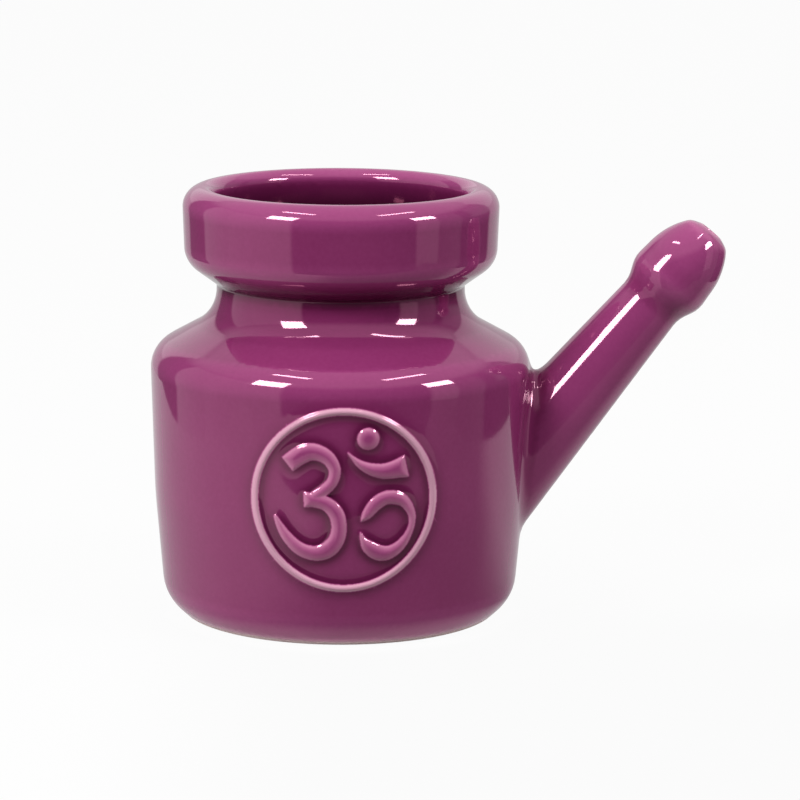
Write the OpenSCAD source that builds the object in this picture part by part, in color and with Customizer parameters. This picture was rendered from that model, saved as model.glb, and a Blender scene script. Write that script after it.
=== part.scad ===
// Neti pot for rinsing the nose: one glazed ceramic piece.
// It is a round waisted body with an open collar, a slanted hollow spout that ends in a bulb
// nozzle, and a round raised emblem on the front wall.
// Origin: centre of the foot on the standing plane. +Z is up, the spout leans out along +X and
// the emblem faces -Y. All sizes are in millimetres.
// Corner diameters and heights are those of the sharp corner, before its rounding.

/* [Foot and body] */
// Outer diameter of the foot where it stands
foot_d = 83; // [76:0.5:88]
// Diameter of the lower corner of the wall
base_d = 93.2; // [90:0.2:97]
// Height of the lower corner of the wall
base_h = 4.6; // [3.5:0.1:7]
// Rounding of the lower corner of the wall
base_round = 11.2; // [6:0.2:12]
// Diameter where the wall's taper eases
belly_d = 98; // [95:0.2:99.5]
// Height where the wall's taper eases
belly_h = 31.6; // [26:0.2:38]
// Rounding of the belly
belly_round = 150; // [60:5:180]
// Diameter of the shoulder
shoulder_d = 100.3; // [98:0.1:104]
// Height of the shoulder
shoulder_h = 70; // [66:0.1:72]
// Rounding of the shoulder
shoulder_round = 8.2; // [6:0.1:11]
// Thickness of the wall
wall = 4.5; // [3.5:0.1:5.5]
// Thickness of the floor
floor_t = 4.5; // [3.5:0.1:6]
// Rounding between the floor and the wall, inside
floor_round = 9; // [4:0.5:14]
// Diameter of the hollow under the foot
hollow_d = 72; // [60:1:76]
// Depth of the hollow under the foot
hollow_depth = 1.5; // [0.8:0.1:2.5]

/* [Neck, collar and mouth] */
// Diameter of the waist, where the shoulder's slope turns up into the neck
waist_d = 64.4; // [62:0.1:68]
// Height of the waist over the shoulder
waist_h = 9.9; // [8.5:0.1:12]
// Rounding of the waist
waist_round = 11; // [7:0.1:12]
// Diameter of the crease between neck and collar
crease_d = 65.4; // [63:0.1:69]
// Height of the crease over the waist
crease_h = 7.7; // [6.5:0.1:9]
// Rounding of the crease
crease_round = 1; // [0.6:0.1:3]
// Diameter of the collar's lower corner
collar_d = 82; // [78:0.1:84]
// Height of the collar's lower corner over the crease
collar_h = 6; // [4.5:0.1:8]
// Rounding of the collar's lower corner
collar_round = 7; // [4:0.1:8]
// Diameter of the rim
rim_d = 83.4; // [80:0.1:86]
// Height of the rim's outer corner over the collar's lower corner
rim_h = 19.4; // [15:0.1:22]
// Rounding of the rim's outer corner
rim_round = 5.3; // [2:0.1:6]
// Rise of the rim's top from its outer corner to its inner one
lip_rise = 0.6; // [0.4:0.1:2.5]
// Rounding of the rim's inner corner
lip_round = 1.5; // [0.8:0.1:2]
// Diameter of the open mouth
mouth_d = 66; // [62:0.2:70]
// Depth of the straight part of the mouth
mouth_depth = 16; // [13:0.5:18]
// Rounding where the mouth meets the throat
mouth_round = 10; // [5:0.5:14]
// Diameter of the throat, the narrowest place inside
throat_d = 56; // [52:0.5:58]
// Rounding of the throat
throat_round = 8; // [5:0.2:9]

/* [Spout] */
// Slope of the spout above the horizontal
spout_angle = 50.6; // [48:0.1:54]
// Height at which the spout's axis leaves the shoulder's diameter
spout_h = 44.2; // [41:0.1:46]
// Diameter of the spout at the shoulder's diameter
spout_d = 23.4; // [21:0.1:25]
// Diameter of the spout just below the nozzle
spout_neck_d = 17; // [15:0.1:18]
// Length of the spout from the shoulder's diameter to the nozzle
spout_l = 50.7; // [46:0.1:56]
// Thickness of the spout's wall
spout_wall = 3.4; // [2.8:0.1:3.8]
// Reach of the blend between spout and body, over the spout
blend_top = 3.2; // [2:0.1:3.6]
// Reach of the blend between spout and body, under the spout
blend_bottom = 1.8; // [1.2:0.1:3]

/* [Nozzle] */
// Diameter of the bulb
nozzle_d = 22; // [20:0.1:24]
// Distance of the bulb's widest corner from the spout's end
nozzle_belly_l = 5.6; // [5:0.1:6.5]
// Rounding of the hollow between spout and bulb
nozzle_neck_round = 8; // [5:0.1:8]
// Rounding of the bulb's widest corner
nozzle_round = 8; // [5:0.1:8]
// Diameter of the bulb's upper corner
nozzle_top_d = 20; // [18.5:0.1:20.6]
// Distance of the bulb's upper corner from the nozzle's closing point
nozzle_top_l = 7.9; // [7:0.1:9]
// Diameter of the bulb's tip corner
nozzle_tip_d = 12.3; // [11.4:0.1:13]
// Rounding of the bulb's upper corner
nozzle_top_round = 20; // [10:1:22]
// Distance of the bulb's tip corner from the nozzle's closing point
nozzle_tip_l = 2.3; // [1.6:0.1:2.8]
// Rounding of the bulb's tip
nozzle_tip_round = 4; // [2.5:0.1:4]
// Length of the nozzle, to where its rounded end would close on the axis
nozzle_l = 24.7; // [24.2:0.1:26]
// Diameter of the outlet
outlet_d = 5; // [4:0.1:6]
// Length of the outlet's straight bore
outlet_l = 8; // [5:0.5:12]
// Width of the outlet's softened edge
outlet_edge = 0.7; // [0.3:0.1:1]

/* [Emblem] */
// Diameter of the emblem over its ring
emblem_d = 47.2; // [40:0.2:50]
// Height of the emblem's centre
emblem_h = 40.1; // [37:0.1:42]
// Offset of the emblem's centre to the spout's side
emblem_x = 1; // [-2:0.1:2]
// Width of the ring
ring_w = 1.8; // [1.4:0.1:2.6]
// Height of the ring over the wall
ring_rise = 1; // [0.6:0.1:1.6]
// Height of the strokes over the wall
stroke_rise = 1.2; // [0.6:0.1:1.8]
// Diameter of the dot
dot_d = 5.7; // [5:0.1:6.4]

/* [Hidden] */

// Largest turn of one straight piece of a rounded corner, in degrees
arc_step = 12;
// Share of an edge that its two roundings may take
edge_share = 0.98;
// Sides of a turned surface
$fn = 96;
// Depth by which relief and blend start inside the wall
sink = 1;
// Length by which a cut runs past what it cuts
over = 1;

body_r = shoulder_d / 2;
taper = (spout_d - spout_neck_d) / 2 / spout_l;

// Diameter of the emblem for which the strokes below are drawn
drawn_d = 47.2;
emblem_scale = emblem_d / drawn_d;
// The emblem's strokes: [across, up, half width] from the emblem's centre
upper_lobe = [
    [-14.3, 8.6, 2.3], [-10.9, 11.3, 2.4], [-7.7, 12.2, 2.2], [-4.3, 10.9, 1.9],
    [-2.4, 7.9, 1.6], [-2.8, 4.8, 1.5], [-4.6, 2.7, 1.5], [-7.3, 0.8, 1.4]
];
lower_lobe = [
    [-10.2, -0.3, 2], [-7.3, -0.3, 1.9], [-4.3, -1.2, 1.9], [-2, -3.5, 2],
    [-1.2, -6.8, 2], [-1.8, -10.1, 2.1], [-3.9, -12.6, 2.2], [-7, -13.6, 2],
    [-10.7, -12.8, 1.7], [-13.8, -10.4, 1.3], [-15.9, -7.6, 0.75], [-17.4, -5, 0.2]
];
curl = [
    [4.4, -5.7, 0.2], [6, -3.7, 1.4], [8.1, -1.2, 1.8], [10.6, 0.2, 1.8],
    [13.1, 0.1, 1.8], [15.3, -1, 1.5], [17, -3.7, 1.1], [17.3, -6.4, 0.9],
    [16.4, -9.2, 1], [14.5, -11.8, 1.4], [11.8, -13.5, 1.8], [9.1, -13.6, 2.1],
    [6.5, -12.1, 1.8], [5, -10.4, 0.9], [4.2, -8.5, 0.2]
];
crescent = [
    [1, 11.9, 0.2], [2.5, 10.4, 0.6], [4.3, 8.9, 1.1], [6.9, 7.7, 1.6],
    [9.9, 7.1, 2], [12.6, 7.4, 2.3], [15.6, 8.2, 2.8]
];
dot_place = [6.1, 15.5];
// Pieces of a stroke between two of its points
stroke_steps = 3;
// Section of a stroke: [across, up] as shares of its half width and its rise, without its foot
stroke_section = [[-1, 0.35], [-0.78, 0.85], [0, 1], [0.78, 0.85], [1, 0.35]];

// Outlines

function unit(v) = v / norm(v);
function flat(p) = [p[0], p[1]];
// Normal on the left of the way from a to b
function left_normal(a, b) = let (u = unit(flat(b) - flat(a))) [-u[1], u[0]];
// Corner b of the outline a, b, c moved inward by t
function inset(a, b, c, t) =
    let (m = left_normal(a, b), n = left_normal(b, c))
    flat(b) + (m + n) * t / (1 + m * n);
// Height at radius r on the line through p and q
function height_at(p, q, r) = p[1] + (r - p[0]) * (q[1] - p[1]) / (q[0] - p[0]);
// Radius at height z on the line through p and q
function radius_at(p, q, z) = p[0] + (z - p[1]) * (q[0] - p[0]) / (q[1] - p[1]);

// Half the angle between the edges at corner b
function half_angle(a, b, c) = acos(unit(flat(a) - flat(b)) * unit(flat(c) - flat(b))) / 2;
// Length that the rounding of corner b takes from each of its edges
function taken(a, b, c) = b[2] / tan(half_angle(a, b, c));

// Arc of radius r that rounds corner b between a and c
function corner_arc(a, b, c, r) =
    let (
        u = unit(flat(a) - flat(b)),
        w = unit(flat(c) - flat(b)),
        half = half_angle(a, b, c),
        centre = flat(b) + unit(u + w) * r / sin(half),
        first = flat(b) + u * r / tan(half) - centre,
        last = flat(b) + w * r / tan(half) - centre,
        start = atan2(first[1], first[0]),
        swing = atan2(last[1], last[0]) - start,
        turn = swing > 180 ? swing - 360 : swing < -180 ? swing + 360 : swing,
        steps = ceil(abs(turn) / arc_step)
    )
    [for (k = [0 : steps]) centre + r * [cos(start + turn * k / steps), sin(start + turn * k / steps)]];

// Outline through corners [radius, height, rounding]; the first and the last stay sharp.
// Where two roundings want more than the edge between them, both become smaller.
function rounded(corners) =
    let (
        last = len(corners) - 1,
        takes = [
            0,
            for (k = [1 : last - 1]) taken(corners[k - 1], corners[k], corners[k + 1]),
            0
        ],
        shares = [
            for (k = [0 : last - 1])
            let (room = edge_share * norm(flat(corners[k + 1]) - flat(corners[k])))
            room / max(room, takes[k] + takes[k + 1])
        ]
    )
    [
        flat(corners[0]),
        for (k = [1 : last - 1])
        let (r = corners[k][2] * min(shares[k - 1], shares[k]))
        each corner_arc(corners[k - 1], corners[k], corners[k + 1], r),
        flat(corners[last])
    ];

// Body

foot = [foot_d / 2, 0, 0.8];
base = [base_d / 2, base_h, base_round];
belly = [belly_d / 2, belly_h, belly_round];
shoulder = [body_r, shoulder_h, shoulder_round];
waist = [waist_d / 2, shoulder_h + waist_h, waist_round];
crease = [crease_d / 2, waist[1] + crease_h, crease_round];
collar = [collar_d / 2, crease[1] + collar_h, collar_round];
rim = [rim_d / 2, collar[1] + rim_h, rim_round];
lip = [mouth_d / 2, rim[1] + lip_rise, lip_round];

mouth_end = [mouth_d / 2, lip[1] - mouth_depth, mouth_round];
inner_shoulder = [
    each inset(belly, shoulder, waist, wall),
    shoulder_round - wall
];
inner_belly = [each inset(base, belly, shoulder, wall), belly_round - wall];
throat_shoulder = inset(shoulder, waist, crease, wall);
throat = [throat_d / 2, height_at(inner_shoulder, throat_shoulder, throat_d / 2), throat_round];
inner_crease = [each inset(waist, crease, collar, wall), throat_round];
floor_h = hollow_depth + floor_t;
inner_base = [radius_at(inset(foot, base, belly, wall), inner_belly, floor_h), floor_h, floor_round];

outer_outline = rounded([[0, 0], foot, base, belly, shoulder, waist, crease, collar, rim, lip, mouth_end]);
inner_outline = rounded([
    [0, floor_h], inner_base, inner_belly, inner_shoulder, throat, inner_crease, mouth_end,
    [mouth_d / 2, lip[1] + over]
]);

// Radius of the outer wall at height z
wall_table = [for (p = rounded([foot, base, belly, shoulder, waist, crease])) [p[1], p[0]]];
function wall_r(z) = lookup(z, wall_table);

module body_solid() {
    rotate_extrude() polygon([each outer_outline, [0, mouth_end[1]]]);
}

module body_hollow() {
    rotate_extrude() polygon([each inner_outline, [0, lip[1] + over]]);
    translate([0, 0, -over])
        cylinder(h = hollow_depth + over, d1 = hollow_d + 2 * (hollow_depth + over), d2 = hollow_d);
}

// Spout

spout_start = [body_r, 0, spout_h];
spout_dir = [cos(spout_angle), 0, sin(spout_angle)];
spout_up = [-sin(spout_angle), 0, cos(spout_angle)];
spout_side = [0, 1, 0];
// The spout's solid and its channel reach back through the wall into the hollow
spout_back = 0.62 * body_r;
channel_back = 0.56 * body_r;

function spout_r(s) = spout_d / 2 - taper * s;
// Point at distance s along the spout and angle a round it, out by extra
function spout_point(a, s, extra) =
    spout_start + s * spout_dir
    + (spout_r(s) + extra) * (cos(a) * spout_up + sin(a) * spout_side);

module along_spout() {
    translate(spout_start) rotate([0, 90 - spout_angle, 0]) children();
}

nozzle_end = spout_l + nozzle_l;
nozzle_tip = [nozzle_tip_d / 2, nozzle_end - nozzle_tip_l, nozzle_tip_round];
// Distance of the outlet's rim along the spout
outlet_end = height_at([0, nozzle_end], nozzle_tip, outlet_d / 2);
spout_outline = rounded([
    [spout_r(-spout_back), -spout_back],
    [spout_neck_d / 2, spout_l, nozzle_neck_round],
    [nozzle_d / 2, spout_l + nozzle_belly_l, nozzle_round],
    [nozzle_top_d / 2, nozzle_end - nozzle_top_l, nozzle_top_round],
    nozzle_tip,
    [0, nozzle_end]
]);

module spout_solid() {
    along_spout() rotate_extrude() polygon([[0, -spout_back], each spout_outline]);
}

module channel() {
    outlet_r = outlet_d / 2;
    past_end = nozzle_end - outlet_end + over;
    edge_h = outlet_edge + past_end;
    along_spout() {
        rotate_extrude() polygon([
            [0, -channel_back],
            [spout_r(-channel_back) - spout_wall, -channel_back],
            [spout_neck_d / 2 - spout_wall, spout_l],
            [outlet_r, outlet_end - outlet_l],
            [0, outlet_end - outlet_l]
        ]);
        translate([0, 0, outlet_end - outlet_l - over])
            cylinder(h = over + outlet_l + past_end, r = outlet_r);
        translate([0, 0, outlet_end - outlet_edge])
            cylinder(h = edge_h, r1 = outlet_r, r2 = outlet_r + edge_h);
    }
}

// Blend between spout and body

// Distance along the spout at which its line at angle a, out by extra, leaves the wall
function leave_at(a, extra, low = -spout_back, high = spout_l, tries = 24) =
    let (middle = (low + high) / 2, p = spout_point(a, middle, extra))
    tries == 0 ? middle
    : norm(flat(p)) > wall_r(p[2]) ? leave_at(a, extra, low, middle, tries - 1)
    : leave_at(a, extra, middle, high, tries - 1);

function outward(p) = unit([p[0], p[1], 0]);
function bend(p, q, r, t) = (1 - t) * (1 - t) * p + 2 * t * (1 - t) * q + t * t * r;

blend_sides = 40;
blend_steps = 4;
blend_dip = 0.25;

// One section of the blend: a curve from the wall to the spout, then back inside the material
function blend_section(a) =
    let (
        reach = (blend_top + blend_bottom) / 2 + (blend_top - blend_bottom) / 2 * cos(a),
        s = leave_at(a, 0),
        crease = spout_point(a, s, 0),
        on_wall = spout_point(a, leave_at(a, reach), reach),
        on_spout = spout_point(a, s + norm(on_wall - crease), 0),
        m = outward(crease),
        n = cos(a) * spout_up + sin(a) * spout_side,
        first = on_wall - blend_dip * outward(on_wall),
        last = on_spout - blend_dip * n
    )
    [
        for (k = [0 : blend_steps]) bend(first, crease, last, k / blend_steps),
        on_spout - sink * n,
        crease - sink * (m + n) / (1 + m * n),
        on_wall - sink * outward(on_wall)
    ];

// Closed tube through a ring of sections that have equally many points
module ring_of(sections) {
    rows = len(sections);
    size = len(sections[0]);
    polyhedron(
        points = [for (row = sections) each row],
        faces = [
            for (i = [0 : rows - 1]) for (j = [0 : size - 1])
            let (i2 = (i + 1) % rows, j2 = (j + 1) % size)
            each [
                [i * size + j, i * size + j2, i2 * size + j2],
                [i * size + j, i2 * size + j2, i2 * size + j]
            ]
        ]
    );
}

module blend() {
    ring_of([for (i = [0 : blend_sides - 1]) blend_section(-360 * i / blend_sides)]);
}

// Emblem

// Point on the front wall, out by rise
function on_front(x, z, rise) =
    let (px = emblem_x + x, pz = emblem_h + z, r = wall_r(pz))
    [px, -sqrt(r * r - px * px) - rise, pz];

// Catmull-Rom curve through the points of a stroke
function curve(p, k, t) =
    let (
        a = p[max(k - 1, 0)],
        b = p[k],
        c = p[k + 1],
        d = p[min(k + 2, len(p) - 1)]
    )
    0.5 * (2 * b + (c - a) * t + (2 * a - 5 * b + 4 * c - d) * t * t + (3 * b - a - 3 * c + d) * t * t * t);
function stroke_line(p) = [
    for (k = [0 : len(p) - 2]) for (i = [0 : stroke_steps - 1]) curve(p, k, i / stroke_steps),
    p[len(p) - 1]
];

// Section of a stroke at point c with way t and the given rise
function stroke_ring(c, t, rise) =
    let (side = c[2] * [-t[1], t[0]])
    [
        on_front(c[0] - side[0], c[1] - side[1], -sink),
        for (q = stroke_section) on_front(c[0] + q[0] * side[0], c[1] + q[0] * side[1], q[1] * rise),
        on_front(c[0] + side[0], c[1] + side[1], -sink)
    ];

// Solid through sections from one end to the other
module bar_of(sections) {
    rows = len(sections);
    size = len(sections[0]);
    polyhedron(
        points = [for (row = sections) each row],
        faces = [
            for (i = [0 : rows - 2]) for (j = [0 : size - 1])
            let (j2 = (j + 1) % size)
            each [
                [i * size + j, i * size + j2, (i + 1) * size + j2],
                [i * size + j, (i + 1) * size + j2, (i + 1) * size + j]
            ],
            for (j = [1 : size - 2]) [0, j + 1, j],
            for (j = [1 : size - 2]) [(rows - 1) * size, (rows - 1) * size + j, (rows - 1) * size + j + 1]
        ]
    );
}

module stroke(points) {
    line = emblem_scale * stroke_line(points);
    last = len(line) - 1;
    bar_of([
        for (i = [0 : last])
        let (way = unit(flat(line[min(i + 1, last)]) - flat(line[max(i - 1, 0)])))
        stroke_ring(line[i], way, stroke_rise)
    ]);
}

module ring() {
    sides = 72;
    middle = (emblem_d - ring_w) / 2;
    ring_of([
        for (i = [0 : sides - 1])
        let (a = 360 * i / sides)
        stroke_ring([middle * cos(a), middle * sin(a), ring_w / 2], [-sin(a), cos(a)], ring_rise)
    ]);
}

module dot() {
    dot_r = emblem_scale * dot_d / 2;
    ball_r = (dot_r * dot_r + stroke_rise * stroke_rise) / 2 / stroke_rise;
    x = emblem_scale * dot_place[0];
    z = emblem_scale * dot_place[1];
    translate(on_front(x, z, stroke_rise - ball_r)) sphere(r = ball_r);
}

module emblem() {
    ring();
    stroke(upper_lobe);
    stroke(lower_lobe);
    stroke(curl);
    stroke(crescent);
    dot();
}

module pot() {
    color("#8a3a6b")
        difference() {
            union() {
                body_solid();
                spout_solid();
                blend();
                emblem();
            }
            body_hollow();
            channel();
        }
}

pot();
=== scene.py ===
"""Looks of a glazed ceramic neti pot: its glaze over the relief, its bare foot, and a soft studio.

The pot is one surface, found as the zero level of a distance field in millimetres: a turned body, a
slanted spout with a bulb nozzle, and the hollow inside both. Origin, axes and sizes are the frame's.
"""
import math

import bpy
import numpy as np
from mathutils import Matrix, Vector

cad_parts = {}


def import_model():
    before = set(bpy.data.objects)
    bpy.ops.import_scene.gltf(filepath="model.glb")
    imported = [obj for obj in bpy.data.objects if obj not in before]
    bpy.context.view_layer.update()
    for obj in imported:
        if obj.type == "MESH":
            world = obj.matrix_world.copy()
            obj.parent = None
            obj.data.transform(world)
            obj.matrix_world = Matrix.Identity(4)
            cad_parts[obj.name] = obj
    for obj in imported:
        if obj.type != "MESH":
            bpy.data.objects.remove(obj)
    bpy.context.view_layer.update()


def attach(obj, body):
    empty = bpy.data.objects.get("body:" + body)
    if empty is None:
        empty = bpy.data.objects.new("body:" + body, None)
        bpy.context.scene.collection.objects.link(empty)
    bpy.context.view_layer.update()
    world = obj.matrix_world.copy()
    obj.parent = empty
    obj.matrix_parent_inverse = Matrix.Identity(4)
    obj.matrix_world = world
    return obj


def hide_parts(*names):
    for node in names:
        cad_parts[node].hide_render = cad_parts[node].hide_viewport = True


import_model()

# Sizes in millimetres. Corners are [radius, height, rounding]
MM = 0.001
WALL = 4.5
SPOUT_WALL = 3.4
# Outlines run this far past the axis, and their ends inside other forms have this small rounding
PAST_AXIS = 3.0
HIDDEN_ROUND = 0.5

HOLLOW_EDGE = [36.0, 1.5, 1.2]
FOOT_INSIDE = [37.5, 0.0, 0.6]
FOOT = [41.5, 0.0, 0.8]
BASE = [46.6, 4.6, 11.2]
BELLY = [49.0, 31.6, 150.0]
SHOULDER = [50.15, 70.0, 8.2]
WAIST = [32.2, 79.9, 11.0]
CREASE = [32.7, 87.6, 1.0]
COLLAR = [41.0, 93.6, 7.0]
RIM = [41.7, 113.0, 5.3]
LIP = [33.0, 113.0, 3.2]
MOUTH_R = LIP[0]
MOUTH_END = [MOUTH_R, 97.6, 10.0]
# The filled body ends this far over the mouth's floor, and the hollow this far over the lip
FILLED_OVER = 2.0
OPEN_OVER = 30.0
THROAT_R = 28.0
THROAT_ROUND = 8.0
FLOOR_H = 6.0
FLOOR_ROUND = 9.0

SPOUT_START = np.array([50.15, 0.0, 44.2])
SPOUT_ANGLE = math.radians(50.6)
SPOUT_R = 11.7
SPOUT_NECK_R = 8.5
SPOUT_L = 50.7
SPOUT_BACK = 24.0
CHANNEL_BACK = 28.0
SPOUT_END_ROUND = 8.0
NOZZLE_END = SPOUT_L + 24.7
# Corners of the bulb: [radius, distance along the spout, rounding]
NOZZLE = [[11.0, SPOUT_L + 5.6, 8.0], [10.0, NOZZLE_END - 7.9, 20.0], [6.15, NOZZLE_END - 2.3, 4.0]]
CHANNEL_ROUND = 5.0
OUTLET_R = 2.5
OUTLET_L = 8.0
OUTLET_ROUND = 3.0
# The channel's form runs this far past the tip
PAST_TIP = 10.0
# Size of the glaze's fillet where the spout leaves the body: on its sides, and the change to top and bottom
BLEND = 3.2
BLEND_SWING = 1.9
# Softness of the outlet's edge and how far it reaches back, and of the channel's edge in the hollow
OUTLET_SOFT = 0.9
OUTLET_REACH = 4.0
CHANNEL_SOFT = 1.5

EMBLEM_R = 23.6
EMBLEM_CENTRE = (1.0, 39.6)
# The photo's emblem is a little taller than it is wide
EMBLEM_TALL = 1.021
RING_W = 2.0
RING_RISE = 1.0
# A larger number gives the ring a flatter top
RING_FLATNESS = 2.6
# Strokes: their height, the widths of the steep side and of the crown, and the side's share of the height
STROKE_RISE = 1.25
STROKE_SIDE = 0.5
STROKE_CROWN = 2.3
SIDE_SHARE = 0.4
# Height of the glaze that gathers beside the strokes, and how softly it runs out
POOL_RISE = 0.8
POOL_SOFT = 0.95
# The emblem's tables: room round the ring, size of a cell, and softness of the height
RELIEF_MARGIN = 3.5
RELIEF_CELL = 0.12
RELIEF_SOFT = 0.2
# The emblem lies on the wall in front of this depth
FRONT = -35.0
DOT_R = 2.85
DOT_PLACE = (6.1, 15.7)
# Strokes of the emblem: [across, up, half width] from its centre
UPPER_LOBE = [
    [-14.3, 8.9, 2.3], [-10.9, 11.5, 2.4], [-7.7, 12.4, 2.2], [-4.3, 11.1, 1.9],
    [-2.4, 8.2, 1.6], [-2.8, 5.2, 1.5], [-4.6, 3.1, 1.5], [-7.3, 1.2, 1.4],
]
LOWER_LOBE = [
    [-10.2, 0.1, 2.0], [-7.3, 0.1, 1.9], [-4.3, -0.8, 1.9], [-2.0, -3.1, 2.0],
    [-1.2, -6.4, 2.0], [-1.8, -9.8, 2.1], [-3.9, -12.4, 2.2], [-7.0, -13.5, 2.0],
    [-10.7, -12.7, 1.8], [-13.8, -10.2, 1.5], [-15.9, -7.3, 1.1], [-17.3, -4.6, 0.5],
]
CURL = [
    [4.4, -5.3, 0.2], [6.0, -3.3, 1.4], [8.1, -0.8, 1.8], [10.6, 0.6, 1.8],
    [13.1, 0.5, 1.8], [15.3, -0.6, 1.5], [17.0, -3.3, 1.1], [17.3, -6.0, 0.9],
    [16.4, -8.9, 1.0], [14.5, -11.6, 1.4], [11.8, -13.4, 1.8], [9.1, -13.5, 2.1],
    [6.5, -12.0, 1.8], [5.0, -10.1, 0.9], [4.2, -8.1, 0.2],
]
CRESCENT = [
    [1.0, 12.2, 0.2], [2.5, 10.7, 0.6], [4.3, 9.2, 1.1], [6.9, 8.0, 1.6],
    [9.9, 7.4, 2.0], [12.6, 7.7, 2.3], [15.9, 8.4, 2.9],
]
# Each stroke with the end that is cut square
STROKES = [(UPPER_LOBE, "first"), (LOWER_LOBE, "first"), (CURL, None), (CRESCENT, "last")]
CURVE_STEPS = 5

# Thickness of the glaze: 0 is bare, 0.5 even, 1 pooled. It draws off edges by how much the surface bends, and
# in the crease and the mouth it also carries painted shade
EVEN = 0.5
BY_BEND = 0.36
LARGEST_BEND = 0.8
# What places add to it, with their sizes in millimetres. Under the collar and down inside the mouth the added
# thickness is partly pooled glaze and partly painted shade
# Darker glaze in the crease under the collar: partly pooled glaze, partly painted shade of the collar's
# underside
CREASE_GLAZE_AND_SHADE = 0.34
CREASE_SHADE_OFFSET = (1.5, 1.8)
CREASE_SHADE_WIDTH = 3.6
# Darker glaze down inside the mouth: painted shade of the deep inside, partly thicker glaze
MOUTH_GLAZE_AND_SHADE = 0.45
MOUTH_SHADE_FROM = 1.5
MOUTH_SHADE_FADE = 8
ON_SPOUT = -0.035
SPOUT_FROM = 50
SPOUT_FADE = 8
NEAR_FOOT = -0.2
NEAR_FOOT_H = 9
AT_FOOT = -0.5
AT_FOOT_H = 2.2
AT_FOOT_FADE = 1.6
ON_RING = -0.45
ON_STROKE = -0.37
INTO_STROKE = 0.14
STROKE_BAND = 2.0
POOL_INSIDE = 0.74
POOL_OUTSIDE = 0.35
POOL_WIDTH = 1.5
GLAZE_SOFT = 0.13

# Mesh sizes in millimetres
MESH_LOW = [-53.0, -53.2, -3.1]
MESH_HIGH = [105.0, 53.0, 117.0]
CELL = 1.9
RELIEF_EDGE = 0.6
RELIEF_RIM_EDGE = 0.34
SMALLEST_EDGE = 0.3
LARGEST_TURN = math.radians(12)
# The finest triangles lie this near to the edges of strokes and ring, and fine ones this far outside it
RIM_BAND = 0.7
EMBLEM_MARGIN = 0.8
RELIEF_ROUNDS = 3
TURN_ROUNDS = 4
# Steps of the differences that find the surface, its normals and how much it bends
SETTLE_STEP = 0.02
NORMAL_STEP = 0.05
BEND_STEP = 0.9
LEAST_SLOPE = 0.2


# Outlines of turned forms

def unit(v):
    return v / np.linalg.norm(v)


def outline(corners):
    """Lines and arcs through corners [radius, height, rounding]; the form lies on their left."""
    pieces = []
    at = np.array(corners[0][:2], float)
    for before, corner, after in zip(corners, corners[1:], corners[2:]):
        tip = np.array(corner[:2], float)
        back = unit(np.array(before[:2]) - tip)
        on = unit(np.array(after[:2]) - tip)
        half = math.acos(back @ on) / 2
        start = tip + back * corner[2] / math.tan(half)
        end = tip + on * corner[2] / math.tan(half)
        centre = tip + unit(back + on) * corner[2] / math.sin(half)
        left_turn = on[1] * back[0] - on[0] * back[1] < 0
        pieces.append(("line", at, start))
        pieces.append(("arc", centre, corner[2], start - centre, end - centre, left_turn))
        at = end
    pieces.append(("line", at, np.array(corners[-1][:2], float)))
    return pieces


def cross(a, b):
    return a[..., 0] * b[..., 1] - a[..., 1] * b[..., 0]


def distance(pieces, radius, height):
    """Signed distance to an outline, below zero inside the form."""
    p = np.stack([radius, height], -1)
    best = np.full(radius.shape, 1e9)
    for piece in pieces:
        if piece[0] == "line":
            a, b = piece[1:]
            way = unit(b - a)
            q = p - a
            along = np.clip(q @ way, 0, np.linalg.norm(b - a))
            size = np.linalg.norm(q - along[..., None] * way, axis=-1)
            signed = np.where(cross(way, q) > 0, -size, size)
        else:
            centre, r, first, last, left_turn = piece[1:]
            q = p - centre
            size = np.linalg.norm(q, axis=-1) - r
            side = 1 if left_turn else -1
            inside = (side * cross(first, q) >= 0) & (side * cross(q, last) >= 0)
            signed = np.where(inside, side * size, 1e9)
        best = np.where(np.abs(signed) < np.abs(best), signed, best)
    return best


def inset(a, b, c, by):
    """Corner b of the outline a, b, c moved to its left by the given distance."""
    m, n = (unit(np.array(q[:2], float) - np.array(p[:2], float)) for p, q in ((a, b), (b, c)))
    m, n = np.array([-m[1], m[0]]), np.array([-n[1], n[0]])
    return np.array(b[:2], float) + (m + n) * by / (1 + m @ n)


def at_radius(p, q, r):
    """Height at radius r on the line through p and q."""
    return p[1] + (r - p[0]) * (q[1] - p[1]) / (q[0] - p[0])


def at_height(p, q, z):
    """Radius at height z on the line through p and q."""
    return p[0] + (z - p[1]) * (q[0] - p[0]) / (q[1] - p[1])


def body_outline():
    """The body as if it were filled up to a little under the lip."""
    filled_to = MOUTH_END[1] + FILLED_OVER
    return outline([
        [-PAST_AXIS, HOLLOW_EDGE[1]], HOLLOW_EDGE, FOOT_INSIDE, FOOT, BASE, BELLY, SHOULDER, WAIST,
        CREASE, COLLAR, RIM, LIP, [MOUTH_R, filled_to, HIDDEN_ROUND], [-PAST_AXIS, filled_to],
    ])


def hollow_outline():
    """The space inside the body, open at the top."""
    belly = [*inset(BASE, BELLY, SHOULDER, WALL), BELLY[2] - WALL]
    shoulder = [*inset(BELLY, SHOULDER, WAIST, WALL), SHOULDER[2] - WALL]
    waist = inset(SHOULDER, WAIST, CREASE, WALL)
    crease = [*inset(WAIST, CREASE, COLLAR, WALL), THROAT_ROUND]
    throat = [THROAT_R, at_radius(shoulder, waist, THROAT_R), THROAT_ROUND]
    base = [at_height(inset(FOOT, BASE, BELLY, WALL), belly, FLOOR_H), FLOOR_H, FLOOR_ROUND]
    return outline([
        [-PAST_AXIS, FLOOR_H], base, belly, shoulder, throat, crease, MOUTH_END,
        [MOUTH_R, LIP[1] + OPEN_OVER],
    ])


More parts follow.
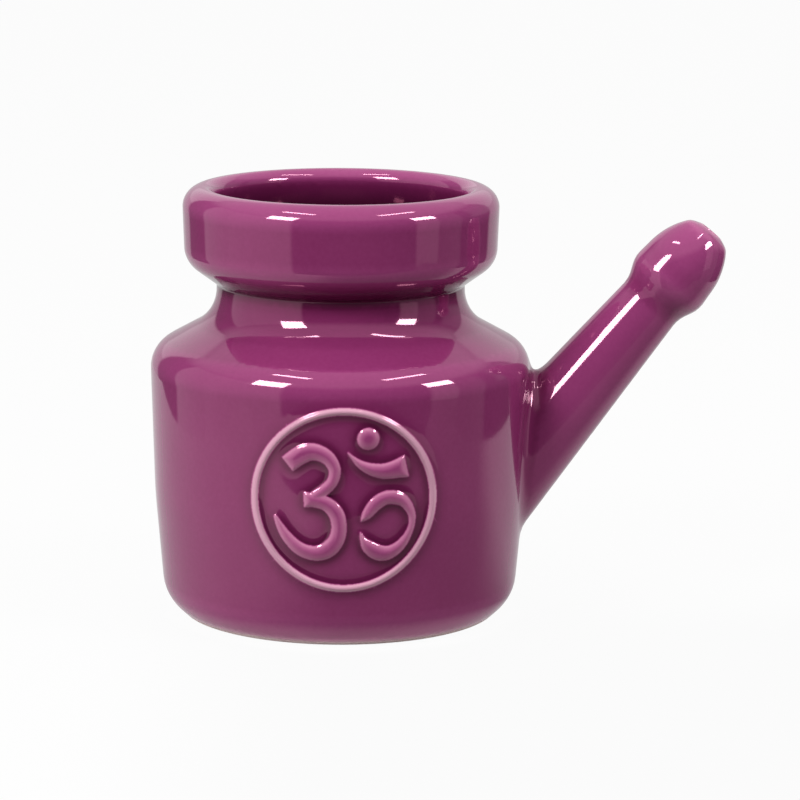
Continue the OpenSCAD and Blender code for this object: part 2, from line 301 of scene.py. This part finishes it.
def spout_r(s):
    """Radius of the spout at distance s along it."""
    return SPOUT_R + (SPOUT_NECK_R - SPOUT_R) * s / SPOUT_L


OUTLET_END = at_radius([0, NOZZLE_END], NOZZLE[-1], OUTLET_R)


def spout_outline():
    """The spout as if it were filled, along its own axis."""
    tip = NOZZLE[-1]
    past = [-PAST_AXIS, at_radius([0, NOZZLE_END], tip, -PAST_AXIS)]
    return outline([
        [-PAST_AXIS, -SPOUT_BACK], [spout_r(-SPOUT_BACK), -SPOUT_BACK, HIDDEN_ROUND],
        [SPOUT_NECK_R, SPOUT_L, SPOUT_END_ROUND], *NOZZLE, past,
    ])


def channel_outline():
    """The space inside the spout, from the hollow to the outlet."""
    start_r = spout_r(-CHANNEL_BACK) - SPOUT_WALL
    top = OUTLET_END + PAST_TIP
    return outline([
        [-PAST_AXIS, -CHANNEL_BACK], [start_r, -CHANNEL_BACK, HIDDEN_ROUND],
        [SPOUT_NECK_R - SPOUT_WALL, SPOUT_L, CHANNEL_ROUND],
        [OUTLET_R, OUTLET_END - OUTLET_L, OUTLET_ROUND],
        [OUTLET_R, top, HIDDEN_ROUND], [-PAST_AXIS, top],
    ])


BODY = body_outline()
HOLLOW = hollow_outline()
SPOUT = spout_outline()
CHANNEL = channel_outline()


# The pot as a field of distances

def joined(a, b, soft):
    """The smaller of two distances, with a fillet of the given size where they meet."""
    overlap = np.maximum(soft - np.abs(a - b), 0)
    return np.minimum(a, b) - overlap * overlap / (4 * soft)


def spout_place(p):
    """Distance along the spout, distance from its axis, and cosine of the angle from its upper side."""
    way = np.array([math.cos(SPOUT_ANGLE), 0, math.sin(SPOUT_ANGLE)])
    up = np.array([-math.sin(SPOUT_ANGLE), 0, math.cos(SPOUT_ANGLE)])
    q = p - SPOUT_START
    s = q @ way
    across = np.linalg.norm(q - s[:, None] * way, axis=1)
    return s, across, (q @ up) / np.maximum(across, 1e-6)


def pot_field(p):
    """Distance to the pot's surface without its emblem, below zero in the ceramic."""
    r = np.hypot(p[:, 0], p[:, 1])
    s, across, top = spout_place(p)
    solid = joined(distance(BODY, r, p[:, 2]), distance(SPOUT, across, s), BLEND + BLEND_SWING * top)
    space = joined(distance(HOLLOW, r, p[:, 2]), distance(CHANNEL, across, s), CHANNEL_SOFT)
    at_outlet = s > OUTLET_END - OUTLET_REACH
    edged = -joined(-solid, space, OUTLET_SOFT)
    return np.where(at_outlet, edged, np.maximum(solid, -space))


def slope(p, step):
    """Gradient and Laplacian of the field by differences over the given step."""
    middle = pot_field(p)
    gradient = np.empty_like(p)
    total = -6 * middle
    for axis in range(3):
        d = np.zeros(3)
        d[axis] = step
        ahead, behind = pot_field(p + d), pot_field(p - d)
        gradient[:, axis] = (ahead - behind) / (2 * step)
        total += ahead + behind
    return middle, gradient, total / step ** 2


def settle(p, rounds=5):
    """Points moved onto the surface."""
    for _ in range(rounds):
        f, g, _ = slope(p, SETTLE_STEP)
        step = f[:, None] * g / np.maximum((g * g).sum(1, keepdims=True), LEAST_SLOPE)
        length = np.linalg.norm(step, axis=1, keepdims=True)
        p = p - step * np.minimum(1, 1 / np.maximum(length, 1e-9))
    return p


# Emblem

def curve_points(points):
    """Catmull-Rom curve through a stroke's points."""
    p = np.array([points[0], *points, points[-1]], float)
    t = (np.arange(CURVE_STEPS) / CURVE_STEPS)[:, None]
    parts = []
    for a, b, c, d in zip(p, p[1:], p[2:], p[3:]):
        parts.append(0.5 * (2 * b + (c - a) * t + (2 * a - 5 * b + 4 * c - d) * t ** 2
                            + (3 * b - a - 3 * c + d) * t ** 3))
    return np.vstack([*parts, p[-1:]])


def stroke_distance(points, square_end, x, z):
    """Signed distance to a stroke's edge, below zero inside it."""
    line = curve_points(points)
    count = len(line) - 1
    square = {"first": (line[0], line[1]), "last": (line[-1], line[-2])}.get(square_end)
    near_end = range(CURVE_STEPS) if square_end == "first" else range(count - CURVE_STEPS, count)
    best = np.full(x.shape, 1e9)
    for k, (a, b) in enumerate(zip(line, line[1:])):
        way = b[:2] - a[:2]
        t = np.clip(((x - a[0]) * way[0] + (z - a[1]) * way[1]) / (way @ way), 0, 1)
        away = np.hypot(x - a[0] - t * way[0], z - a[1] - t * way[1])
        edge = away - (a[2] + t * (b[2] - a[2]))
        if square and k in near_end:
            end, inner = square
            out = unit(end[:2] - inner[:2])
            edge = np.maximum(edge, (x - end[0]) * out[0] + (z - end[1]) * out[1])
        best = np.minimum(best, edge)
    return best


def blurred(picture, width):
    """Gaussian blur of a square table, with the width in cells."""
    reach = int(3 * width) + 1
    weights = np.exp(-0.5 * (np.arange(-reach, reach + 1) / width) ** 2)
    weights /= weights.sum()
    for axis in (0, 1):
        wide = np.pad(picture, [(reach, reach) if k == axis else (0, 0) for k in (0, 1)])
        picture = sum(w * wide.take(range(k, k + picture.shape[axis]), axis) for k, w in enumerate(weights))
    return picture


class Relief:
    """Height of the emblem's surface over the wall, and how thick the glaze lies on it."""

    half = EMBLEM_R + RELIEF_MARGIN
    cell = RELIEF_CELL

    def __init__(self):
        ticks = np.arange(-self.half, self.half + self.cell, self.cell)
        x, z = np.meshgrid(ticks, ticks, indexing="ij")
        middle = EMBLEM_R - RING_W / 2
        ring = np.abs(np.hypot(x, z) - middle) - RING_W / 2
        strokes = np.hypot(x - DOT_PLACE[0], z - DOT_PLACE[1]) - DOT_R
        for points, square_end in STROKES:
            strokes = np.minimum(strokes, stroke_distance(points, square_end, x, z))
        self.edge = np.minimum(ring, strokes)
        on_clay = (self.edge < 0).astype(float)
        pool = POOL_RISE * blurred(on_clay, POOL_SOFT / self.cell)
        form = np.maximum(np.maximum(self.bead(ring), self.raised(strokes)), pool)
        self.height = blurred(form, RELIEF_SOFT / self.cell)
        self.across, self.up = np.gradient(self.height, self.cell)
        most = np.where(np.hypot(x, z) < middle, POOL_INSIDE, POOL_OUTSIDE)
        pooled = blurred(on_clay, POOL_WIDTH / self.cell) * most
        on_stroke = ON_STROKE + INTO_STROKE * np.clip(-strokes, 0, STROKE_BAND)
        glaze = np.where(ring < 0, ON_RING, np.where(strokes < 0, on_stroke, pooled))
        self.glaze = blurred(glaze, GLAZE_SOFT / self.cell)

    @staticmethod
    def bead(edge):
        """The ring's height, a flat round."""
        share = 1 - np.clip(-edge / (RING_W / 2), 0, 1)
        return RING_RISE * (1 - share ** RING_FLATNESS)

    @staticmethod
    def raised(edge):
        """A stroke's height by the distance to its edge: a steep side and a round crown."""
        side = np.clip(-edge / STROKE_SIDE, 0, 1)
        crown = np.clip(-edge / STROKE_CROWN, 0, 1)
        round_side = np.sqrt(1 - (1 - side) ** 2)
        return STROKE_RISE * (SIDE_SHARE * round_side + (1 - SIDE_SHARE) * (2 - crown) * crown)

    def read(self, table, p):
        """Values of a table at points on the front wall, zero away from the emblem."""
        u = (p[:, 0] - EMBLEM_CENTRE[0] + self.half) / self.cell
        v = ((p[:, 2] - EMBLEM_CENTRE[1]) / EMBLEM_TALL + self.half) / self.cell
        last = table.shape[0] - 2
        i, j = np.clip(u.astype(int), 0, last), np.clip(v.astype(int), 0, last)
        a, b = u - i, v - j
        value = ((1 - a) * (1 - b) * table[i, j] + a * (1 - b) * table[i + 1, j]
                 + (1 - a) * b * table[i, j + 1] + a * b * table[i + 1, j + 1])
        inside = (np.abs(u - last / 2) < last / 2) & (np.abs(v - last / 2) < last / 2)
        return np.where(inside & self.on_front(p), value, 0)

    @staticmethod
    def on_front(p):
        """True on the outside of the front wall."""
        from_body = distance(BODY, np.hypot(p[:, 0], p[:, 1]), p[:, 2])
        return (p[:, 1] < FRONT) & (from_body > -WALL / 2)


RELIEF = Relief()


def raised_points(p):
    """Surface points with the emblem's height added to the front wall."""
    out = p.copy()
    out[:, 1] -= RELIEF.read(RELIEF.height, p)
    return out


def surface_normals(p):
    """Normals of the surface with its emblem, from points on the plain surface."""
    n = slope(p, NORMAL_STEP)[1]
    n[:, 0] += n[:, 1] * RELIEF.read(RELIEF.across, p)
    n[:, 2] += n[:, 1] * RELIEF.read(RELIEF.up, p) / EMBLEM_TALL
    return n / np.linalg.norm(n, axis=1, keepdims=True)


# Mesh

def surface_net(low, high):
    """Quads round the zero level of the field, one point for each grid cell that it crosses."""
    axes = [np.arange(a, b + CELL, CELL) for a, b in zip(low, high)]
    shape = [len(a) for a in axes]
    grid = np.stack(np.meshgrid(*axes, indexing="ij"), -1)
    value = pot_field(grid.reshape(-1, 3)).reshape(shape)
    cells = [n - 1 for n in shape]
    total, count = np.zeros((*cells, 3)), np.zeros(cells)
    corners = [np.array([i, j, k]) for i in (0, 1) for j in (0, 1) for k in (0, 1)]

    def at(table, c):
        return table[c[0]:c[0] + cells[0], c[1]:c[1] + cells[1], c[2]:c[2] + cells[2]]

    for axis in range(3):
        for a in (c for c in corners if c[axis] == 0):
            b = a.copy()
            b[axis] = 1
            va, vb = at(value, a), at(value, b)
            hit = (va < 0) != (vb < 0)
            t = np.where(hit, va / np.where(hit, va - vb, 1), 0)[..., None]
            total += np.where(hit[..., None], at(grid, a) * (1 - t) + at(grid, b) * t, 0)
            count += hit
    number = np.full(cells, -1)
    used = count > 0
    number[used] = np.arange(used.sum())
    points = total[used] / count[used][:, None]
    quads = []
    for axis in range(3):
        u, v = (axis + 1) % 3, (axis + 2) % 3
        low_side = np.take(value, range(shape[axis] - 1), axis)
        high_side = np.take(value, range(1, shape[axis]), axis)
        place = np.argwhere((low_side < 0) != (high_side < 0))
        inner = (place[:, u] > 0) & (place[:, v] > 0) & (place[:, u] < cells[u]) & (place[:, v] < cells[v])
        place = place[inner]
        leaves = low_side[tuple(place.T)] < 0
        quad = []
        for du, dv in ((-1, -1), (0, -1), (0, 0), (-1, 0)):
            cell = place.copy()
            cell[:, u] += du
            cell[:, v] += dv
            quad.append(number[tuple(cell.T)])
        quad = np.stack(quad, -1)
        quads.append(np.where(leaves[:, None], quad, quad[:, ::-1]))
    return points, np.vstack(quads)


def relaxed(points, quads, rounds=8):
    """Points spread more evenly over the surface."""
    edges = np.vstack([quads[:, [k, (k + 1) % 4]] for k in range(4)])
    count = np.bincount(edges[:, 0], minlength=len(points))[:, None]
    for _ in range(rounds):
        total = np.zeros_like(points)
        for axis in range(3):
            total[:, axis] = np.bincount(edges[:, 0], points[edges[:, 1], axis], len(points))
        points = settle(0.5 * points + 0.5 * total / count, 1)
    return settle(points)


def triangles(points, quads):
    """Each quad split along its shorter diagonal."""
    first = np.linalg.norm(points[quads[:, 0]] - points[quads[:, 2]], axis=1)
    second = np.linalg.norm(points[quads[:, 1]] - points[quads[:, 3]], axis=1)
    a, b = quads[first <= second], quads[first > second]
    return np.vstack([a[:, [0, 1, 2]], a[:, [0, 2, 3]], b[:, [0, 1, 3]], b[:, [1, 2, 3]]])


def split(points, tris, wanted):
    """Triangles with each wanted edge cut at its middle; wanted takes the ends of the edges."""
    ends = np.sort(tris[:, [[0, 1], [1, 2], [2, 0]]].reshape(-1, 2), 1)
    keys, back = np.unique(ends[:, 0] * len(points) + ends[:, 1], return_inverse=True)
    edges = np.stack([keys // len(points), keys % len(points)], 1)
    cut = wanted(edges[:, 0], edges[:, 1])
    middle = np.full(len(edges), -1)
    middle[cut] = len(points) + np.arange(cut.sum())
    new = settle(points[edges[cut]].mean(1), 3)
    points = np.vstack([points, new])
    sides = middle[back].reshape(-1, 3)
    out = []
    count = (sides >= 0).sum(1)
    out.append(tris[count == 0])
    a, b, c = tris[count == 3].T
    ab, bc, ca = sides[count == 3].T
    out += [np.stack(t, 1) for t in ((a, ab, ca), (ab, b, bc), (ca, bc, c), (ab, bc, ca))]
    for first in range(3):
        order = [first, (first + 1) % 3, (first + 2) % 3]
        one = (count == 1) & (sides[:, first] >= 0)
        a, b, c = tris[one][:, order].T
        ab = sides[one, first]
        out += [np.stack(t, 1) for t in ((a, ab, c), (ab, b, c))]
        two = (count == 2) & (sides[:, order[2]] < 0)
        a, b, c = tris[two][:, order].T
        ab, bc = sides[two, order[0]], sides[two, order[1]]
        out += [np.stack(t, 1) for t in ((a, ab, c), (ab, b, bc), (ab, bc, c))]
    return points, np.vstack(out)


def refined(points, tris):
    """Smaller triangles on the emblem and wherever the surface turns quickly."""

    def length(a, b):
        return np.linalg.norm(points[a] - points[b], axis=1)

    def on_emblem(a, b):
        middle = (points[a] + points[b]) / 2
        off = np.hypot(middle[:, 0] - EMBLEM_CENTRE[0], (middle[:, 2] - EMBLEM_CENTRE[1]) / EMBLEM_TALL)
        at_rim = np.abs(RELIEF.read(RELIEF.edge, middle)) < RIM_BAND
        longest = np.where(at_rim, RELIEF_RIM_EDGE, RELIEF_EDGE)
        return (off < EMBLEM_R + EMBLEM_MARGIN) & RELIEF.on_front(middle) & (length(a, b) > longest)

    def turns(a, b):
        return (normals[a] * normals[b]).sum(1) < math.cos(LARGEST_TURN)

    for _ in range(RELIEF_ROUNDS):
        points, tris = split(points, tris, on_emblem)
    for _ in range(TURN_ROUNDS):
        normals = surface_normals(points)
        points, tris = split(points, tris, lambda a, b: turns(a, b) & (length(a, b) > SMALLEST_EDGE))
    return points, tris


def share(value, over):
    """0 below zero, 1 from the given size on, and a straight rise between them."""
    return np.clip(value / over, 0, 1)


def glaze_depth_and_shade(p):
    """How thick the glaze lies: it draws off edges and the foot, and gathers in hollows; in the crease and
    the mouth it is also thickened as painted shade.
    """
    r, z = np.hypot(p[:, 0], p[:, 1]), p[:, 2]
    bend = slope(p, BEND_STEP)[2]
    even = EVEN - BY_BEND * np.clip(bend, -LARGEST_BEND, LARGEST_BEND)
    out, up = r - CREASE[0] - CREASE_SHADE_OFFSET[0], z - CREASE[1] - CREASE_SHADE_OFFSET[1]
    # Painted shade under the collar, partly pooled glaze: the glaze is made thicker and darker round the
    # crease
    crease_glaze_and_shade = CREASE_GLAZE_AND_SHADE * np.exp(-(out ** 2 + up ** 2) / CREASE_SHADE_WIDTH ** 2)
    inside = np.abs(distance(HOLLOW, r, z)) < 0.5
    # Painted shade inside the mouth, partly thicker glaze: darker the deeper below the rim
    mouth_glaze_and_shade = np.where(inside, MOUTH_GLAZE_AND_SHADE * share(RIM[1] - MOUTH_SHADE_FROM - z, MOUTH_SHADE_FADE), 0)
    on_spout = ON_SPOUT * share(p[:, 0] - SPOUT_FROM, SPOUT_FADE)
    near_foot = NEAR_FOOT * share(NEAR_FOOT_H - z, NEAR_FOOT_H)
    at_foot = near_foot + AT_FOOT * share(AT_FOOT_H - z, AT_FOOT_FADE)
    by_place = crease_glaze_and_shade + mouth_glaze_and_shade + on_spout + at_foot
    return np.clip(even + by_place + RELIEF.read(RELIEF.glaze, p), 0, 1)


def pot_mesh():
    points, quads = surface_net(MESH_LOW, MESH_HIGH)
    points = relaxed(points, quads)
    points, tris = refined(points, triangles(points, quads))
    print("pot:", len(points), "points,", len(tris), "triangles")
    mesh = bpy.data.meshes.new("glazed_pot")
    mesh.from_pydata((raised_points(points) * MM).tolist(), [], tris.tolist())
    mesh.update()
    depth = mesh.attributes.new("glaze_depth_and_shade", "FLOAT", "POINT")
    depth.data.foreach_set("value", glaze_depth_and_shade(points).astype(np.float32))
    mesh.normals_split_custom_set_from_vertices(surface_normals(points).tolist())
    return mesh


# Materials

def linear(c):
    """Linear value of a screen value from 0 to 255."""
    return c / 255 / 12.92 if c <= 10.3 else ((c / 255 + 0.055) / 1.055) ** 2.4


def srgb(r, g, b):
    """Linear colour from screen values."""
    return (linear(r), linear(g), linear(b), 1)


def rgb(value):
    """A grey as a colour."""
    return (value, value, value, 1)


class Nodes:
    """Short calls for the nodes of a material or the world."""

    def __init__(self, tree):
        self.tree = tree

    def add(self, kind, **settings):
        node = self.tree.nodes.new("ShaderNode" + kind)
        for name, value in settings.items():
            setattr(node, name, value)
        return node

    def join(self, source, target):
        self.tree.links.new(source, target)

    def feed(self, socket, value):
        """A link from another node, or a plain value."""
        if isinstance(value, (int, float, tuple)):
            socket.default_value = value
        else:
            self.join(value, socket)

    def math(self, operation, a, b=0.0):
        node = self.add("Math", operation=operation)
        self.feed(node.inputs[0], a)
        self.feed(node.inputs[1], b)
        return node.outputs[0]

    def noise(self, vector, scale, detail=2.0):
        node = self.add("TexNoise")
        node.inputs["Scale"].default_value = scale
        node.inputs["Detail"].default_value = detail
        self.join(vector, node.inputs["Vector"])
        return node.outputs["Fac"]

    def cloud(self, vector, scale, detail, amount):
        """Noise round zero, up to half the given amount either way."""
        return self.math("MULTIPLY", self.math("SUBTRACT", self.noise(vector, scale, detail), 0.5), amount)

    def from_axis(self, x, y):
        """Distance from the pot's axis."""
        squares = self.math("ADD", self.math("MULTIPLY", x, x), self.math("MULTIPLY", y, y))
        return self.math("SQRT", squares)

    def ramp(self, value, stops):
        node = self.add("ValToRGB")
        elements = node.color_ramp.elements
        while len(elements) < len(stops):
            elements.new(0.5)
        for element, (place, colour) in zip(elements, stops):
            element.position = place
            element.color = colour
        self.join(value, node.inputs["Fac"])
        return node.outputs["Color"]

    def step(self, value, low, high):
        """0 below low, 1 above high, smooth between them."""
        node = self.add("MapRange", interpolation_type="SMOOTHSTEP")
        self.join(value, node.inputs["Value"])
        node.inputs["From Min"].default_value = low
        node.inputs["From Max"].default_value = high
        return node.outputs["Result"]

    def mix(self, share, a, b, kind="RGBA"):
        node = self.add("Mix", data_type=kind)
        wanted = "VALUE" if kind == "FLOAT" else kind
        share_end, *ends = [s for s in node.inputs if s.enabled and s.type in ("VALUE", wanted)]
        self.join(share, share_end)
        self.feed(ends[0], a)
        self.feed(ends[1], b)
        return [s for s in node.outputs if s.enabled][0]

    def split(self, vector):
        """The three parts of a vector."""
        node = self.add("SeparateXYZ")
        self.join(vector, node.inputs[0])
        return node.outputs


def material(name):
    """A new material, its nodes, its shader and its surface socket."""
    made = bpy.data.materials.new(name)
    made.use_nodes = True
    nodes = made.node_tree.nodes
    return made, Nodes(made.node_tree), nodes["Principled BSDF"], nodes["Material Output"].inputs["Surface"]


# Ring of bare clay under the foot in metres: its height, how uneven its edge is, and its inner radius
BARE_H = 0.0010
BARE_UNEVEN = 0.0007
BARE_INNER_R = 0.0368


def bare_foot(n, place):
    """1 on the ring of bare clay that the pot stands on, with a slightly uneven edge."""
    x, y, z = n.split(place)
    edge = n.math("ADD", z, n.cloud(place, 260, 2, BARE_UNEVEN))
    low = n.math("LESS_THAN", edge, BARE_H)
    return n.math("MULTIPLY", low, n.math("GREATER_THAN", n.from_axis(x, y), BARE_INNER_R))


# Colour of the bare clay, and of the glaze by its thickness, whose deep end also gives the painted shade in
# the crease and the mouth
CLAY = [(0.3, srgb(222, 198, 198)), (0.7, srgb(236, 218, 214))]
GLAZE = [
    (0.06, srgb(202, 150, 172)),
    (0.13, srgb(190, 124, 155)),
    (0.26, srgb(172, 94, 136)),
    (0.40, srgb(143, 60, 110)),
    (0.50, srgb(122, 42, 90)),
    (0.65, srgb(96, 25, 67)),
    (0.95, srgb(52, 8, 33)),
]
# The glaze mirrors twice what plain glass does face on, tinted by its colour
GLAZE_IOR = 1.5
GLAZE_MIRRORS = 1.0
GLAZE_TINT = (1.0, 0.5, 0.66, 1)
CLAY_ROUGHNESS = 0.7
# Height of the glaze's ripples in metres
RIPPLE = 0.00012


def glazed_ceramic():
    """Plum glaze over pale clay: thin and pink on edges, deep where it pools."""
    made, n, shader, _ = material("glazed_ceramic")
    place = n.add("TexCoord").outputs["Object"]
    depth = n.add("Attribute", attribute_name="glaze_depth_and_shade").outputs["Fac"]
    uneven = n.math("ADD", n.cloud(place, 38, 3, 0.06), n.cloud(place, 900, 3, 0.04))
    glaze = n.ramp(n.math("ADD", depth, uneven), GLAZE)
    clay = n.ramp(n.noise(place, 1400, 4), CLAY)
    bare = bare_foot(n, place)
    n.join(n.mix(bare, glaze, clay), shader.inputs["Base Color"])
    gloss = n.math("ADD", 0.035, n.math("MULTIPLY", n.noise(place, 120, 3), 0.04))
    n.join(n.mix(bare, gloss, CLAY_ROUGHNESS, "FLOAT"), shader.inputs["Roughness"])
    shader.inputs["IOR"].default_value = GLAZE_IOR
    shader.inputs["Specular IOR Level"].default_value = GLAZE_MIRRORS
    shader.inputs["Specular Tint"].default_value = GLAZE_TINT
    bump = n.add("Bump")
    bump.inputs["Strength"].default_value = 0.25
    bump.inputs["Distance"].default_value = RIPPLE
    ripple = n.math("ADD", n.noise(place, 95, 1), n.math("MULTIPLY", bare, n.noise(place, 2600, 2)))
    n.join(ripple, bump.inputs["Height"])
    n.join(bump.outputs[0], shader.inputs["Normal"])
    return made


# The table's own colour where it is pale, and a painted shade in front, where the table is white, which the
# glaze mirrors dark
TABLE_PALE = [(0.3, rgb(0.49)), (0.7, rgb(0.51))]
TABLE_PAINTED_SHADE = rgb(0.2)
# Where its pale parts begin and end in metres: to the left, at the back, and round the foot
LEFT_EDGE = (-0.07, 0.0)
BACK_EDGE = (-0.03, 0.03)
FOOT_EDGE = (0.045, 0.053)
# How white the camera sees it, and the glaze its pale parts
SEEN_WHITE = 0.95
MIRRORED_WHITE = 0.4


def pale_table():
    """A matte pale table with painted shade in front but not round the foot, seen nearly white with the pot's
    shadow.
    """
    made, n, shader, surface = material("pale_table")
    place = n.add("TexCoord").outputs["Object"]
    x, y, _ = n.split(place)
    left = n.math("SUBTRACT", 1.0, n.step(x, *LEFT_EDGE))
    round_foot = n.math("SUBTRACT", 1.0, n.step(n.from_axis(x, y), *FOOT_EDGE))
    pale = n.math("MAXIMUM", n.math("MAXIMUM", left, n.step(y, *BACK_EDGE)), round_foot)
    # Painted shade: the table is made dark in front so that the glaze mirrors it dark
    n.join(n.mix(pale, TABLE_PAINTED_SHADE, n.ramp(n.noise(place, 3), TABLE_PALE)), shader.inputs["Base Color"])
    shader.inputs["Roughness"].default_value = 0.9
    shader.inputs["Specular IOR Level"].default_value = 0.1
    rays = n.add("LightPath").outputs
    seen = n.math("MAXIMUM", rays["Is Camera Ray"], rays["Is Transmission Ray"])
    straight = n.math("MULTIPLY", seen, SEEN_WHITE)
    mirrored = n.math("MULTIPLY", rays["Is Glossy Ray"], n.math("MULTIPLY", pale, MIRRORED_WHITE))
    white = n.add("Emission")
    blend = n.add("MixShader")
    n.join(n.math("MAXIMUM", straight, mirrored), blend.inputs["Fac"])
    n.join(shader.outputs[0], blend.inputs[1])
    n.join(white.outputs[0], blend.inputs[2])
    n.join(blend.outputs[0], surface)
    return made


# Pieces

def placed(name, data):
    """A new object in the scene."""
    piece = bpy.data.objects.new(name, data)
    bpy.context.scene.collection.objects.link(piece)
    return piece


def pot():
    piece = placed("glazed_pot", pot_mesh())
    piece.data.materials.append(glazed_ceramic())
    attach(piece, "root")
    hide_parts("pot")


# The table's corners in metres
TABLE = [(-0.25, -0.178), (0.245, -0.178), (0.245, 0.5), (0.9, 4.0), (-0.9, 4.0), (-0.25, 0.5)]


def table():
    """The floor: a table top whose front edge lies just outside the picture."""
    mesh = bpy.data.meshes.new("table")
    mesh.from_pydata([(x, y, 0) for x, y in TABLE], [], [range(len(TABLE))])
    mesh.materials.append(pale_table())
    piece = placed("table", mesh)


# Camera and light

# The camera's place in metres, its angles in degrees, and its lens and sensor in millimetres
CAMERA_PLACE = Vector((0.00018, -0.9405, 0.23945))
CAMERA_DOWN = 11.038
CAMERA_TURN = -0.951
CAMERA_ROLL = 0.426
CAMERA_LENS = 162.87
SENSOR = 36
NEAREST_SEEN = 0.05

# What the lamps face, and how far from it they stand, in metres
LAMPS_FACE = Vector((0, 0, 0.08))
LAMP_AWAY = 1.2
# Lamps: name, azimuth, elevation, width and height in degrees, radiance
LAMPS = [
    ("left_lamp", -47.5, 36, 24, 16, 24),
    ("right_lamp", 65, 28, 20, 12, 24),
    ("left_tube", -56, 67, 50, 3.5, 20),
    ("right_tube", 64, 61, 52, 3, 20),
]
# Radiance of the room away from its panels
DIM = 0.03
# Pale panels: azimuth from and to, elevation from and to, softness of their edges, radiance
PANELS = [
    (-190, -144, -80, 38, 3, 0.65),
    (-190, -144, 8, 38, 3, 0.95),
    (-145, -116, -80, 36, 2, 0.12),
    (-118, -90, -80, 36, 2, 0.74),
    (-92, -36, -80, 36, 2, 0.82),
    (-40, 60, -80, -10, 0.8, 0.1),
    (56, 76, -14, 30, 2, 0.64),
    (56, 98, -80, 30, 3, 0.28),
    (98, 136, -80, 30, 3, 0.06),
    (108, 140, 0, 32, 5, 0.28),
    (136, 190, -80, 38, 3, 0.65),
    (136, 190, 8, 38, 3, 0.85),
    (-200, 200, 34, 110, 9, 0.7),
]


def camera():
    data = bpy.data.cameras.new("camera")
    data.lens = CAMERA_LENS
    data.sensor_width = SENSOR
    data.clip_start = NEAREST_SEEN
    piece = placed("camera", data)
    turn = Matrix.Rotation(math.radians(CAMERA_TURN), 4, "Z")
    down = Matrix.Rotation(math.radians(90 - CAMERA_DOWN), 4, "X")
    roll = Matrix.Rotation(math.radians(CAMERA_ROLL), 4, "Z")
    piece.matrix_world = Matrix.Translation(CAMERA_PLACE) @ turn @ down @ roll
    bpy.context.scene.camera = piece


def toward(azimuth, elevation):
    """Direction from the pot; azimuth 0 is the camera's side and 90 the spout's side."""
    a, e = math.radians(azimuth), math.radians(elevation)
    return Vector((math.sin(a) * math.cos(e), -math.cos(a) * math.cos(e), math.sin(e)))


def lamp(name, azimuth, elevation, width, height, radiance):
    """A rectangular lamp that faces the pot; its width and height are angles as the pot sees them."""
    data = bpy.data.lights.new(name, "AREA")
    data.shape = "RECTANGLE"
    data.size = LAMP_AWAY * math.radians(width) * math.cos(math.radians(elevation))
    data.size_y = LAMP_AWAY * math.radians(height)
    data.energy = radiance * math.pi * data.size * data.size_y
    piece = placed(name, data)
    way = toward(azimuth, elevation)
    piece.location = LAMPS_FACE + way * LAMP_AWAY
    piece.rotation_mode = "QUATERNION"
    piece.rotation_quaternion = way.to_track_quat("Z", "Y")
    piece.visible_camera = False


def world():
    """A dim room with pale panels, as the glaze mirrors it; the camera sees it white."""
    made = bpy.data.worlds.new("studio")
    bpy.context.scene.world = made
    made.use_nodes = True
    n = Nodes(made.node_tree)
    x, y, z = n.split(n.add("TexCoord").outputs["Generated"])
    azimuth = n.math("DEGREES", n.math("ARCTAN2", x, n.math("MULTIPLY", y, -1.0)))
    elevation = n.math("DEGREES", n.math("ARCSINE", z))
    total = DIM
    for left, right, low, high, soft, level in PANELS:
        across = n.math("SUBTRACT", n.step(azimuth, left - soft, left + soft),
                        n.step(azimuth, right - soft, right + soft))
        up = n.math("SUBTRACT", n.step(elevation, low - soft, low + soft),
                    n.step(elevation, high - soft, high + soft))
        total = n.math("MAXIMUM", total, n.math("MULTIPLY", n.math("MULTIPLY", across, up), level))
    room = made.node_tree.nodes["Background"]
    n.join(total, room.inputs["Color"])
    white = n.add("Background")
    white.inputs["Color"].default_value = (1, 1, 1, 1)
    blend = n.add("MixShader")
    n.join(n.add("LightPath").outputs["Is Camera Ray"], blend.inputs["Fac"])
    n.join(room.outputs[0], blend.inputs[1])
    n.join(white.outputs[0], blend.inputs[2])
    n.join(blend.outputs[0], made.node_tree.nodes["World Output"].inputs["Surface"])


pot()
table()
camera()
for settings in LAMPS:
    lamp(*settings)
world()
bpy.context.scene.view_settings.view_transform = "Standard"
